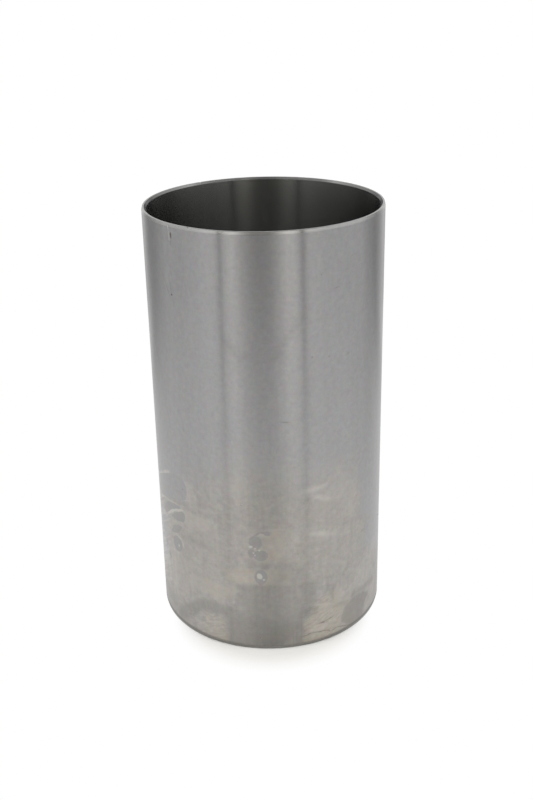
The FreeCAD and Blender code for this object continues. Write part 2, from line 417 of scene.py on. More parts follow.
class Value:
    """An output socket of a material's node, which arithmetic joins by Math nodes."""

    def __init__(self, socket):
        self.socket = socket

    def math(self, operation, *values):
        """A Math node on up to three values or numbers, in this value's material."""
        node = self.socket.id_data.nodes.new("ShaderNodeMath")
        node.operation = operation
        for k, value in enumerate(values):
            feed(node.inputs[k], value)
        return Value(node.outputs[0])

    def __add__(self, other):
        return self.math("ADD", self, other)

    def __sub__(self, other):
        return self.math("SUBTRACT", self, other)

    def __rsub__(self, other):
        return self.math("SUBTRACT", other, self)

    def __mul__(self, other):
        return self.math("MULTIPLY", self, other)

    def __truediv__(self, other):
        return self.math("DIVIDE", self, other)

    def __pow__(self, other):
        return self.math("POWER", self, other)

    def __gt__(self, other):
        return self.math("GREATER_THAN", self, other)

    def __lt__(self, other):
        return self.math("LESS_THAN", self, other)

    def __or__(self, other):
        return self.math("MAXIMUM", self, other)

    def __and__(self, other):
        return self.math("MINIMUM", self, other)

    def __neg__(self):
        return self.math("MULTIPLY", self, -1)

    __radd__ = __add__
    __rmul__ = __mul__


def feed(socket, value):
    """Links a value to a socket, or sets a number or colour on it."""
    if isinstance(value, Value):
        socket.id_data.links.new(value.socket, socket)
    else:
        socket.default_value = value


class Finish:
    """A new material whose nodes are added one by one."""

    def __init__(self, name):
        self.material = bpy.data.materials.new(name)
        self.material.use_nodes = True
        self.tree = self.material.node_tree
        self.tree.nodes.clear()

    def node(self, kind, settings=None, output=0, **sockets):
        """Adds a node, makes its settings, then sets or links its sockets, and gives one of its outputs."""
        node = self.tree.nodes.new(kind)
        for name, value in (settings or {}).items():
            if name == "stops":
                set_stops(node.color_ramp, value)
            else:
                setattr(node, name, value)
        for name, value in sockets.items():
            feed(find_input(node, name), value)
        return Value(node.outputs[output]) if node.outputs else None

    def own_place(self):
        """Where a point lies on its object, in metres."""
        return self.node("ShaderNodeTexCoord", output="Object")

    def parts(self, vector):
        """A vector's three values."""
        split = self.node("ShaderNodeSeparateXYZ", Vector=vector).socket.node
        return [Value(output) for output in split.outputs]

    def ramp(self, value, start, end):
        """Goes smoothly from 0 at the start to 1 at the end."""
        return self.node(
            "ShaderNodeMapRange", {"interpolation_type": "SMOOTHSTEP"}, Value=value,
            From_Min=start, From_Max=end,
        )

    def blend(self, amount, under, over):
        """Colour over another by an amount."""
        return self.node(
            "ShaderNodeMix", {"data_type": "RGBA"}, output=2,
            input_0=amount, input_6=under, input_7=over,
        )


def find_input(node, name):
    """The input whose name reads as the keyword does, with spaces for underscores, or that has its number."""
    if name.startswith("input_"):
        return node.inputs[int(name[len("input_"):])]
    wanted = name.replace("_", " ").lower()
    return next(s for s in node.inputs if s.name.lower() == wanted and s.enabled)


def set_stops(ramp, stops):
    """Gives a colour ramp its stops, each a position and a grey level."""
    while len(ramp.elements) < len(stops):
        ramp.elements.new(0.5)
    for element, (position, level) in zip(ramp.elements, stops):
        element.position = position
        element.color = (level, level, level, 1)


def rgba(colour):
    """A colour with full alpha."""
    return (*colour, 1)


class WallFinish(Finish):
    """The liner's material, with the places and marks on its wall worked out in millimetres."""

    def __init__(self, name, finish):
        super().__init__(name)
        self.colours = finish
        self.place = self.node(
            "ShaderNodeVectorMath", {"operation": "SCALE"}, Vector=self.own_place(), Scale=1 / MM,
        )
        x, y, self.up = self.parts(self.place)
        self.radius = (x * x + y * y) ** 0.5
        self.across = self.up.math("ARCTAN2", x, -y) * WALL["r_mm"]
        self.plane = self.node("ShaderNodeCombineXYZ", X=self.across, Y=self.up, Z=1.0)

    def noise(self, stretch, scale, detail=2.0, roughness=0.5, offset=0.0):
        """Noise from 0 to 1 in millimetres, drawn out round the wall by a stretch, so it has no seam."""
        place = self.node(
            "ShaderNodeMapping", Vector=self.place, Location=(offset, offset, offset),
            Scale=(1 / stretch, 1 / stretch, 1),
        )
        return self.node(
            "ShaderNodeTexNoise", Vector=place, Scale=scale, Detail=detail, Roughness=roughness,
        )

    def smear(self, lean, length, width, offset=0.0):
        """Noise from 0 to 1 on the wall's flat plan, drawn out along lines that lean left by some degrees."""
        place = self.node(
            "ShaderNodeMapping", {"vector_type": "TEXTURE"}, Vector=self.plane, Location=(offset, offset, 0),
            Rotation=(0, 0, math.radians(lean)), Scale=(length, width, 1),
        )
        return self.node("ShaderNodeTexNoise", Vector=place, Scale=1.0, Detail=3.0, Roughness=0.6)

    def ragged(self, amount, scale):
        """The wall's flat plan with its points pushed about by noise, for shapes with uneven outlines."""
        push = self.node(
            "ShaderNodeTexNoise", output="Color", Vector=self.plane, Scale=scale, Detail=5.0, Roughness=0.7,
        )
        centred = self.node(
            "ShaderNodeVectorMath", {"operation": "SUBTRACT"}, input_0=push, input_1=(0.5, 0.5, 0.5),
        )
        along = self.node(
            "ShaderNodeVectorMath", {"operation": "MULTIPLY"}, input_0=centred,
            input_1=(amount, amount, 0),
        )
        return self.node("ShaderNodeVectorMath", {"operation": "ADD"}, input_0=self.plane, input_1=along)

    def beyond(self, plan, point, direction):
        """How far a place on the plan lies beyond a point, in a direction whose length is the scale."""
        (x, y), (across, up) = point, direction
        return self.node(
            "ShaderNodeVectorMath", {"operation": "DOT_PRODUCT"}, output="Value", input_0=plan,
            input_1=(across, up, -across * x - up * y),
        )

    def oval_gap(self, plan, oval):
        """About how far a place is outside an oval, in millimetres, and below 0 inside it."""
        middle = (oval.across, oval.up)
        along, off = math.cos(math.radians(oval.lean)), math.sin(math.radians(oval.lean))
        wide = self.beyond(plan, middle, (along / oval.half_width, off / oval.half_width))
        tall = self.beyond(plan, middle, (-off / oval.half_height, along / oval.half_height))
        local = self.node("ShaderNodeCombineXYZ", X=wide, Y=tall)
        reach = self.node("ShaderNodeVectorMath", {"operation": "LENGTH"}, output="Value", Vector=local)
        return (reach - 1) * min(oval.half_width, oval.half_height)

    def outline_gap(self, plan, corners):
        """How far a place is outside a convex outline, in millimetres, and below 0 inside it."""
        gap = None
        for (x, y), (next_x, next_y) in zip(corners, corners[1:] + corners[:1]):
            length = math.hypot(next_x - x, next_y - y)
            side = self.beyond(plan, (x, y), ((next_y - y) / length, (x - next_x) / length))
            gap = side if gap is None else gap.math("SMOOTH_MAX", gap, side, CORNER_ROUNDING)
        return gap

    def gap(self, plan, shapes):
        """How far a place is outside the nearest of the shapes, in millimetres."""
        nearest = None
        for shape in shapes:
            measure = self.oval_gap if isinstance(shape, Oval) else self.outline_gap
            gap = measure(plan, shape)
            nearest = gap if nearest is None else nearest & gap
        return nearest

    def inside(self, plan, shapes, blur):
        """1 inside any of the shapes and 0 outside them, through a blurred edge."""
        return self.ramp(self.gap(plan, shapes), blur, -blur)

    def vary(self, *patterns):
        """A tone about 1, which each pattern from 0 to 1 changes by its amount."""
        tone = 1
        for pattern, amount in patterns:
            tone = tone + (pattern - 0.5) * amount
        return tone

    def lay(self, colour, plan, stain, unevenness=1):
        """Colour with a stain over it, as even as a number or a pattern about 1 makes it."""
        cover = self.inside(plan, stain.shapes, stain.blur) * (unevenness * stain.cover)
        return self.blend(cover, colour, rgba(getattr(self.colours, stain.tint)))

    def shade(self, colour, tone):
        """Colour times a tone, which is 1 where the colour stays as it is."""
        grey = self.node("ShaderNodeCombineColor", Red=tone, Green=tone, Blue=tone)
        return self.times(colour, grey)

    def times(self, colour, tint):
        """Colour times another colour."""
        return self.node(
            "ShaderNodeMix", {"data_type": "RGBA", "blend_type": "MULTIPLY"}, output=2,
            input_0=1.0, input_6=colour, input_7=tint,
        )

    def tinge(self, colour, amount):
        """Colour with small patches that are a little pinker, greener or bluer."""
        hue = self.node(
            "ShaderNodeTexNoise", output="Color",
            Vector=self.place, Scale=TINGE_SCALE, Detail=3.0, Roughness=0.65,
        )
        shift = self.node(
            "ShaderNodeVectorMath", {"operation": "MULTIPLY_ADD"}, input_0=hue,
            input_1=(amount,) * 3, input_2=(1 - amount / 2,) * 3,
        )
        return self.times(colour, shift)


# How far the corners of a stain's outline are rounded, in millimetres
CORNER_ROUNDING = 1.2


class LINER_OT_turn(bpy.types.Operator):
    """Turn the liner, dent its rim and wall, and give it its ground and oily finish"""

    bl_idname = "liner.turn"
    bl_label = "Turn the liner"
    bl_options = {"REGISTER", "UNDO"}

    def execute(self, context):
        sizes = context.scene.liner_sizes
        liner = turn_outline(liner_outline(sizes), sizes.steps)
        liner.name = PIECE
        liner.data.name = PIECE
        for dent in PITS + RIM_NICKS:
            press_in(liner, dent)
        finish_shading(liner)
        liner.data.materials.append(ground_iron(context.scene.liner_finish))
        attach(liner, BODY)
        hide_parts(NODE)
        return {"FINISHED"}


def liner_outline(sizes):
    """The half-section's closed outline, as (radius, height) corners from the bore's lower mouth outwards."""
    bore, outside, top = sizes.bore_radius, sizes.outer_radius, sizes.length
    land = outside - sizes.lead_in_depth
    lead_in = sizes.lead_in_length
    taper_mouth = bore + sizes.ring_taper_depth
    taper_foot = top - sizes.bore_chamfer - sizes.ring_taper_length
    lower_mouth = (bore + sizes.bore_chamfer, 0)
    upper_mouth = (taper_mouth + sizes.bore_chamfer, top)
    heights = set(rows(lead_in, top - lead_in, sizes.row_height))
    heights.update((pit.up + step) * MM for pit in PITS for step in (-PIT_ROW, 0, PIT_ROW))
    return (
        [lower_mouth]
        + broken_corner(lower_mouth, (land, 0), (outside, lead_in), sizes.edge_break)
        + [(outside, height) for height in sorted(heights)]
        + broken_corner((outside, top - lead_in), (land, top), upper_mouth, sizes.edge_break)
        + [upper_mouth, (taper_mouth, top - sizes.bore_chamfer)]
        + [(bore, height) for height in reversed(rows(sizes.bore_chamfer, taper_foot, sizes.row_height))]
    )


def broken_corner(before, corner, after, size):
    """Points of a small curve that rounds off the corner between two others."""
    start = step_towards(corner, before, size)
    end = step_towards(corner, after, size)
    points = []
    for k in range(BREAK_STEPS + 1):
        t = k / BREAK_STEPS
        points.append(tuple(
            (1 - t) ** 2 * first + 2 * t * (1 - t) * middle + t ** 2 * last
            for first, middle, last in zip(start, corner, end)
        ))
    return points


def step_towards(here, there, distance):
    """The point a distance from here on the way to there."""
    length = math.dist(here, there)
    return tuple(a + (b - a) * distance / length for a, b in zip(here, there))


# Points on the curve of a broken corner, less one
BREAK_STEPS = 4


def rows(low, high, spacing):
    """Heights that divide a wall evenly, both ends included."""
    count = max(1, round((high - low) / spacing))
    return [low + (high - low) * k / count for k in range(count + 1)]


def turn_outline(outline, steps):
    """Extrudes a ring of edges round a closed outline's corners, and welds the last ring to the first."""
    bpy.ops.object.select_all(action="DESELECT")
    radius, height = outline[0]
    bpy.ops.mesh.primitive_circle_add(
        vertices=steps, radius=radius, fill_type="NOTHING", location=(0, 0, height),
    )
    liner = bpy.context.object
    bpy.ops.object.transform_apply(location=True, rotation=False, scale=False)
    bpy.ops.object.mode_set(mode="EDIT")
    bpy.ops.mesh.select_all(action="SELECT")
    for next_radius, next_height in outline[1:] + outline[:1]:
        bpy.ops.mesh.extrude_edges_move(TRANSFORM_OT_translate={"value": (0, 0, next_height - height)})
        grow = next_radius / radius
        bpy.ops.transform.resize(value=(grow, grow, 1), center_override=(0, 0, 0))
        radius, height = next_radius, next_height
    bpy.ops.mesh.select_all(action="SELECT")
    bpy.ops.mesh.remove_doubles(threshold=WELD_DISTANCE)
    bpy.ops.mesh.normals_make_consistent(inside=False)
    bpy.ops.object.mode_set(mode="OBJECT")
    return liner


# Points of the last ring of edges that are nearer than this to the first ring's are welded to them
WELD_DISTANCE = 0.01 * MM


def press_in(liner, dent):
    """Cuts up the faces near a dent's middle, then pushes its middle in with a smooth falloff."""
    azimuth, way = math.radians(dent.azimuth), math.radians(dent.way)
    outwards = Vector((math.sin(azimuth), -math.cos(azimuth), 0))
    middle = (outwards * dent.radius + Vector((0, 0, dent.up))) * MM
    push = (-outwards * math.cos(way) - Vector((0, 0, math.sin(way)))) * dent.depth * MM
    deselect_all(liner, "FACE")
    for face in liner.data.polygons:
        face.select = (face.center - middle).length < CUT_REACH * MM
    bpy.ops.object.mode_set(mode="EDIT")
    bpy.ops.mesh.subdivide(number_cuts=CUTS)
    deselect_all(liner, "VERT")
    min(liner.data.vertices, key=lambda vertex: (vertex.co - middle).length).select = True
    bpy.ops.object.mode_set(mode="EDIT")
    bpy.ops.transform.translate(
        value=push, use_proportional_edit=True, proportional_edit_falloff="SMOOTH",
        proportional_size=dent.size * MM,
    )
    bpy.ops.object.mode_set(mode="OBJECT")


def deselect_all(liner, kind):
    """Turns to selecting that kind of element, leaves none selected, and goes back to object mode."""
    bpy.context.view_layer.objects.active = liner
    bpy.ops.object.mode_set(mode="EDIT")
    bpy.ops.mesh.select_mode(type=kind)
    bpy.ops.mesh.select_all(action="DESELECT")
    bpy.ops.object.mode_set(mode="OBJECT")


def choose(thing):
    """Selects one object alone and makes it the active one."""
    bpy.ops.object.select_all(action="DESELECT")
    thing.select_set(True)
    bpy.context.view_layer.objects.active = thing


def finish_shading(liner):
    """Smooth round the liner, crisp at the edges of its tapers and chamfers."""
    choose(liner)
    bpy.ops.object.shade_smooth_by_angle(angle=SMOOTH_ANGLE)


# Faces that meet at less than this angle are shaded as one smooth surface
SMOOTH_ANGLE = math.radians(10)


# Radii in millimetres that part the bore with its ring taper, then its chamfers, from the rest, and that part
# the foot's painted shade and the ground wall from what lies inside them
BORE_REACH = BORE["r_mm"] + 0.09
CHAMFER_REACH = BORE["r_mm"] + 1.1
FOOT_START = WALL["r_mm"] - 0.5
WALL_START = WALL["r_mm"] - 0.05

# How much each pattern changes the tone of the wall's iron, the bore and the turned edges
GRINDING_TONE = 0.05
CLOUD_TONE = 0.08
SPECKLE_TONE = 0.32
STREAK_TONE = 0.06
BORE_TONE = 0.16
EDGE_TONE = 0.12

# Small shifts of hue on the wall, and how finely they run
TINGE = 0.24
TINGE_SCALE = 0.4

# Painted shade and light on the bore's chamfers: they are this much darker than the other edges, and lighten
# again by this much from the sides to the back, between these distances round the liner, as a painted
# highlight
CHAMFER_PAINTED_SHADE = 0.85
CHAMFER_PAINTED_LIGHT = 1.2
CHAMFER_PAINTED_LIGHT_EDGE = (88, 162)

# Rust in the spots: how unevenly their outlines run, their blur and how much it covers
RUST_OUTLINE = (0.5, 1.2)
RUST_BLUR = 0.15
RUST_COVER = 0.85

# Painted shade along the foot, laid in the dark film's colour for the floor's contact shadow that the lowest
# millimetres reflect: the heights that it fades out between, how it climbs to the sides and how far out it
# still climbs, and how much it covers
FOOT_SHADE_EDGE = (2.2, 0.7)
FOOT_SHADE_CLIMB = 0.025
FOOT_SHADE_CLIMB_END = 70
FOOT_SHADE_COVER = 0.8

# What the film, the clouds and rust add to the wall's roughness
FILM_ROUGHNESS = 0.05
CLOUD_ROUGHNESS = 0.02
RUST_ROUGHNESS = 0.35

# The grinding lines' depth
BUMP_DISTANCE = 0.004 * MM
BUMP_STRENGTH = 0.15


def ground_iron(colours):
    """Ground cast iron: an oily, stained outside, a fine-bored inside and freshly turned edges."""
    wall = WallFinish("ground_iron", colours)
    bore = wall.radius < BORE_REACH
    outside = wall.radius > WALL_START
    aside = wall.across.math("ABSOLUTE", wall.across)
    grinding = wall.noise(stretch=40, scale=1.6, detail=3.0, roughness=0.6)
    clouds = wall.noise(stretch=1.5, scale=0.045)
    speckle = wall.noise(stretch=1, scale=0.45, detail=4.0, roughness=0.75, offset=300)
    streaks = wall.noise(stretch=0.08, scale=0.05, detail=3.0, offset=70)
    boring = wall.noise(stretch=60, scale=2.2, detail=3.0)
    tone = wall.vary(
        (grinding, GRINDING_TONE), (clouds, CLOUD_TONE), (speckle, SPECKLE_TONE), (streaks, STREAK_TONE),
    )
    bare = wall.shade(rgba(colours.wall_iron), tone)
    film, cover = oil_film(wall, bare, tone, streaks)
    rust = wall.inside(wall.ragged(*RUST_OUTLINE), SPOTS, RUST_BLUR) * outside
    film = wall.blend(rust * RUST_COVER, wall.tinge(film, TINGE), rgba(colours.rust))
    bored = wall.shade(rgba(colours.bore_iron), wall.vary((boring, BORE_TONE)))
    turned = wall.shade(rgba(colours.edge_iron), wall.vary((grinding, EDGE_TONE)))
    # Painted shade on the bore's chamfers, with a painted highlight towards the back, by distance round from
    # the front
    chamfer = (1 - bore) * (wall.radius < CHAMFER_REACH)
    painted_chamfer_light = wall.ramp(aside, *CHAMFER_PAINTED_LIGHT_EDGE) * CHAMFER_PAINTED_LIGHT
    turned = wall.shade(turned, 1 - chamfer * (CHAMFER_PAINTED_SHADE - painted_chamfer_light))
    colour = wall.blend(outside, wall.blend(bore, turned, bored), film)
    # Painted shade: the floor's contact shadow, as the foot reflects it, laid in the dark film's colour
    foot_shade = wall.ramp(wall.up - (aside & FOOT_SHADE_CLIMB_END) * FOOT_SHADE_CLIMB, *FOOT_SHADE_EDGE)
    foot_shade = foot_shade * (wall.radius > FOOT_START)
    colour = wall.blend(foot_shade * FOOT_SHADE_COVER, colour, rgba(colours.dark_film))
    inside = bore * (colours.bore_roughness - colours.edge_roughness) + colours.edge_roughness
    on_wall = cover * FILM_ROUGHNESS + (clouds - 0.5) * CLOUD_ROUGHNESS + rust * RUST_ROUGHNESS
    roughness = outside * (on_wall + colours.ground_roughness) + (1 - outside) * inside
    bump = wall.node(
        "ShaderNodeBump", Strength=BUMP_STRENGTH, Distance=BUMP_DISTANCE,
        Height=(grinding - 0.5) * outside,
    )
    shader = wall.node(
        "ShaderNodeBsdfPrincipled", Base_Color=colour, Metallic=1 - rust, Roughness=roughness,
        Anisotropic=colours.grain, Anisotropic_Rotation=ACROSS_THE_LINES, Normal=bump,
    )
    wall.node("ShaderNodeOutputMaterial", Surface=shader)
    return wall.material


# A quarter turn, so that highlights stretch up and down, across the grinding lines
ACROSS_THE_LINES = 0.25

# How the outline of a shape runs: how far it is pushed about, in millimetres, and how finely
OUTLINES = {
    "crisp": (1.2, 0.4),
    "loose": (4.0, 0.25),
    "uneven": (5.0, 0.18),
    "soft": (9.0, 0.09),
}

# Wide stains that are blurred by this much or more run softly
SOFT_BLUR = 2

# The film's top edge fades out over this height and wanders by this much, and its clean parts are blurred
FILM_FADE = 32
FILM_WANDER = 40
CLEAN_BLUR = 4.0

# How much mottling and streaks change the film, and how much mottling, creases and wrinkles change its stains
FILM_MOTTLE = 0.48
FILM_STREAKS = 0.12
STAIN_MOTTLE = 0.9
STAIN_CREASES = 0.7
WRINKLES = 0.55
WRINKLE_BLUR = 1.5

# Streaks that were wiped across the left side: the noise levels that they start and are full at, how much
# they cover, and where they fade in from the right, the left, above and below
WIPED_LEVELS = (0.42, 0.62)
WIPED_COVER = 0.5
WIPED_ACROSS = ((-57, -64), (-98, -78))
WIPED_UP = ((70, 62), (10, 22))

# Bare iron on the islands: its tone, and how it tarnished dark and yellow, all over those to the right of the
# first line and less on the left ones below the second
ISLAND_BLUR = 0.3
ISLAND_TONE = 0.96
TARNISH_ACROSS = (-40, -25)
TARNISH_UP = (70, 66)
LEFT_TARNISH = 0.6
DARK_TARNISH = 0.3
YELLOW_TARNISH = 0.1
YELLOW_EVERYWHERE = 0.04


def oil_film(wall, bare, tone, streaks):
    """The wall's colour with its dried oil film over the bare iron, and how much the film covers."""
    colours = wall.colours
    top = colours.film_height / MM
    plans = {name: wall.ragged(*push) for name, push in OUTLINES.items()}
    plans["plain"] = wall.plane
    wander = (wall.noise(stretch=1, scale=0.03, detail=1.0) - 0.5) * FILM_WANDER
    clean = wall.inside(plans["soft"], CLEAN_PARTS, CLEAN_BLUR)
    film = wall.ramp(wall.up + wander, top, top - FILM_FADE) * (1 - clean)
    colour = wall.blend(film, bare, wall.shade(rgba(colours.warm_film), tone))
    mottle = wall.noise(stretch=1.3, scale=0.35, detail=5.0, roughness=0.65, offset=40)
    colour = wall.shade(colour, wall.vary((mottle, film * FILM_MOTTLE), (streaks, film * FILM_STREAKS)))
    colour = stain_behind(wall, colour)
    wiped = wall.ramp(wall.smear(lean=32, length=16, width=1.8, offset=20), *WIPED_LEVELS) * WIPED_COVER
    for edge in WIPED_ACROSS:
        wiped = wiped * wall.ramp(wall.across, *edge)
    for edge in WIPED_UP:
        wiped = wiped * wall.ramp(wall.up, *edge)
    colour = wall.blend(wiped, colour, rgba(colours.dry_film))
    creases = wall.smear(lean=20, length=5, width=1.3, offset=55)
    flecked = wall.vary((mottle, STAIN_MOTTLE))
    patchy = wall.vary((mottle, STAIN_MOTTLE), (creases, STAIN_CREASES))
    for stain in WIDE_STAINS:
        plan = plans["soft" if stain.blur >= SOFT_BLUR else "uneven"]
        colour = wall.lay(colour, plan, stain, flecked if stain.tint == "dark_film" else patchy)
    wrinkles = wall.smear(lean=18, length=3.5, width=1.1, offset=90)
    wrinkled = wall.inside(plans["uneven"], WRINKLED_PARTS, WRINKLE_BLUR) * WRINKLES
    colour = wall.shade(colour, wall.vary((wrinkles, wrinkled)))
    for stain in PALE_STAINS:
        colour = wall.lay(colour, plans["crisp"], stain, patchy)
    island = wall.inside(plans["crisp"], ISLANDS, ISLAND_BLUR)
    tarnished = wall.ramp(wall.across, *TARNISH_ACROSS) | wall.ramp(wall.up, *TARNISH_UP) * LEFT_TARNISH
    ground = wall.blend(tarnished * DARK_TARNISH, wall.shade(bare, ISLAND_TONE), rgba(colours.dark_film))
    yellowed = tarnished * YELLOW_TARNISH + YELLOW_EVERYWHERE
    colour = wall.blend(island, colour, wall.blend(yellowed, ground, rgba(colours.yellow_film)))
    for outline, stain in MARKS:
        colour = wall.lay(colour, plans[outline], stain)
    return colour, film * (1 - island)


# The far side: where it starts, to each side, then for its pale puddles and its dark dirt the heights that
# they fade out between, the noise levels that they start and are full at, and how much they cover
BEHIND_EDGE = (74, 84)
PUDDLE_UP = (95, 60)
PUDDLE_LEVELS = (0.5, 0.56)
DIRT_UP = (50, 25)
DIRT_LEVELS = (0.53, 0.58)
BEHIND_COVER = 0.4


def stain_behind(wall, colour):
    """More of the film's stains on the side away from the camera, where the photograph shows nothing."""
    colours = wall.colours
    behind = wall.ramp(wall.across.math("ABSOLUTE", wall.across), *BEHIND_EDGE) * BEHIND_COVER
    puddles = wall.ramp(wall.noise(stretch=1.8, scale=0.05, detail=4.0, offset=90), *PUDDLE_LEVELS)
    dirt = wall.ramp(wall.noise(stretch=1.8, scale=0.045, detail=4.0, offset=150), *DIRT_LEVELS)
    puddles = puddles * behind * wall.ramp(wall.up, *PUDDLE_UP)
    dirt = dirt * behind * wall.ramp(wall.up, *DIRT_UP)
    colour = wall.blend(puddles, colour, rgba(colours.pale_film))
    return wall.blend(dirt, colour, rgba(colours.dark_film))


class LINER_OT_set_studio(bpy.types.Operator):
    """Set the floor, the light tent, the lamps and the camera"""

    bl_idname = "liner.set_studio"
    bl_label = "Set the studio"
    bl_options = {"REGISTER", "UNDO"}

    def execute(self, context):
        studio = context.scene.liner_studio
        lay_floor(studio)
        pitch_tent(studio)
        hang_lamps()
        light_world(context.scene)
        place_camera(context.scene, studio)
        context.scene.view_settings.view_transform = "Standard"
        return {"FINISHED"}


# Rays that show a thing: straight to the camera, in a reflection or through glass
SEEN_RAYS = ("Is Camera Ray", "Is Glossy Ray", "Is Transmission Ray")


def any_of(node, names):
    """1 where any of a node's outputs is."""
    camera, glossy, through = (Value(node.outputs[name]) for name in names)
    return camera | glossy | through


def seen_ray(finish):
    """1 for rays that show a thing."""
    path = finish.node("ShaderNodeLightPath").socket.node
    return any_of(path, SEEN_RAYS)


def lay_floor(studio):
    """A wide white floor just under the liner, which takes the liner's shadow."""
    bpy.ops.object.select_all(action="DESELECT")
    bpy.ops.mesh.primitive_circle_add(
        vertices=FLOOR_SIDES, radius=studio.floor_radius, fill_type="NGON", location=(0, 0, -FLOOR_DROP),
    )
    floor = bpy.context.object
    floor.name = "floor"
    bpy.ops.object.transform_apply(location=True, rotation=False, scale=False)
    floor.data.materials.append(white_floor())


def white_floor():
    """White where it is seen, lit by the lamps close to the liner, and dimmer in reflections further out."""
    paint = Finish("white_floor")
    x, y, _ = paint.parts(paint.own_place())
    from_base = (x * x + (y + SHADE_OFFSET) ** 2) ** 0.5
    from_front = (x * x + (y + FAR_OFFSET) ** 2) ** 0.5
    open_floor = paint.ramp(from_base, *SHADE_EDGE)
    far = paint.ramp(from_front, *FAR_EDGE) * (1 - paint.ramp(y, *BACK_EDGE))
    from_patch = ((x - RIGHT_PATCH[0]) ** 2 + (y - RIGHT_PATCH[1]) ** 2) ** 0.5
    aside = paint.ramp(from_patch, *RIGHT_EDGE)
    in_reflection = Value(paint.node("ShaderNodeLightPath").socket.node.outputs["Is Glossy Ray"])
    cloth = paint.node("ShaderNodeBsdfDiffuse", Color=FLOOR_CLOTH)
    level = 1 - in_reflection * (far * (1 - FAR_LEVEL) | aside * (1 - RIGHT_LEVEL))
    glow = paint.node("ShaderNodeEmission", Color=(1, 1, 1, 1), Strength=level)
    lit = seen_ray(paint) * open_floor
    mixed = paint.node("ShaderNodeMixShader", input_0=lit, input_1=cloth, input_2=glow)
    paint.node("ShaderNodeOutputMaterial", Surface=mixed)
    return paint.material


# The floor's corners, how far it lies below the liner's foot, and its colour in the liner's shadow
FLOOR_SIDES = 96
FLOOR_DROP = 0.2 * MM
FLOOR_CLOTH = (0.86, 0.85, 0.82, 1)

# The floor shows the lamps' light and the liner's shadow out to here, from a point in front of the axis
SHADE_OFFSET = 24 * MM
SHADE_EDGE = (36 * MM, 52 * MM)

# Past here, from a point further in front of the axis, the floor is dimmer in reflections, though not
# at the back
FAR_OFFSET = 150 * MM
FAR_EDGE = (400 * MM, 560 * MM)
FAR_LEVEL = 0.6
BACK_EDGE = (280 * MM, 370 * MM)

# A wide patch to its right is a little dimmer too
RIGHT_PATCH = (320 * MM, 60 * MM)
RIGHT_EDGE = (150 * MM, 70 * MM)
RIGHT_LEVEL = 0.84

# The tent's sides
TENT_SIDES = 180

# How bright the lower part of the tent's cloth is at each azimuth, in degrees from the camera to each side
LEFT_CLOTH = [
    (0, 0.18), (-4, 0.14), (-12, 0.28), (-20, 0.53), (-28, 0.92), (-37.4, 0.78), (-38.2, 0.05),
    (-40.4, 0.05), (-41.2, 0.76), (-52, 0.78), (-64, 0.67), (-82, 0.57), (-96, 0.66), (-112, 0.5),
    (-130, 0.34), (-144, 0.62), (-152, 0.86), (-163, 0.15), (-180, 0.08),
]
RIGHT_CLOTH = [
    (0, 0.18), (4, 0.22), (12, 0.53), (20, 0.9), (26, 0.9), (31, 0.7), (32, 0.1), (34.5, 0.1),
    (35.5, 0.6), (42, 0.77), (56, 0.64), (96, 0.7), (108, 0.52), (122, 0.34), (136, 0.57), (150, 0.84),
    (163, 0.15), (180, 0.08),
]

# The cloth is brighter by this gain above this height, and pale there behind the liner; the roof is dim
CLOTH_STEP = (250 * MM, 320 * MM)
UPPER_CLOTH_GAIN = 1.3
UPPER_BACK_LEVEL = 0.9
UPPER_BACK_START = 480 * MM

# It is at least this bright above the lens, out to this far to each side as a share of a full turn
ABOVE_LENS_LEVEL = 0.42
ABOVE_LENS_EDGE = (0.04, 0.08)
ROOF_LEVEL = 0.12

# The cloth's soft upright folds, and its warm tint in front, which fades out over this share of a full turn
FOLDS_ROUND = 70.0
FOLD_DEPTH = 0.5
WARM_FRONT = (1.02, 0.985, 0.94, 1)
WARM_HALF_WIDTH = 0.2


def pitch_tent(studio):
    """The tent, seen only in reflections: bright cloth, dark seams, a dark slot for the lens, a dim roof."""
    bpy.ops.object.select_all(action="DESELECT")
    bpy.ops.mesh.primitive_cylinder_add(
        vertices=TENT_SIDES, radius=studio.tent_radius, depth=studio.tent_height, end_fill_type="NOTHING",
        location=(0, 0, studio.tent_height / 2),
    )
    walls = bpy.context.object
    bpy.ops.mesh.primitive_circle_add(
        vertices=TENT_SIDES, radius=studio.tent_radius, fill_type="NGON", location=(0, 0, studio.tent_height),
    )
    roof = bpy.context.object
    roof_finish = Finish("tent_roof")
    roof_finish.node(
        "ShaderNodeOutputMaterial",
        Surface=roof_finish.node("ShaderNodeEmission", Color=(1, 1, 1, 1), Strength=ROOF_LEVEL),
    )
    for name, cloth, material in (
        ("tent_walls", walls, tent_cloth()), ("tent_roof", roof, roof_finish.material),
    ):
        cloth.name = name
        choose(cloth)
        bpy.ops.object.transform_apply(location=True, rotation=False, scale=False)
        cloth.data.materials.append(material)
        show_only_in_reflections(cloth)


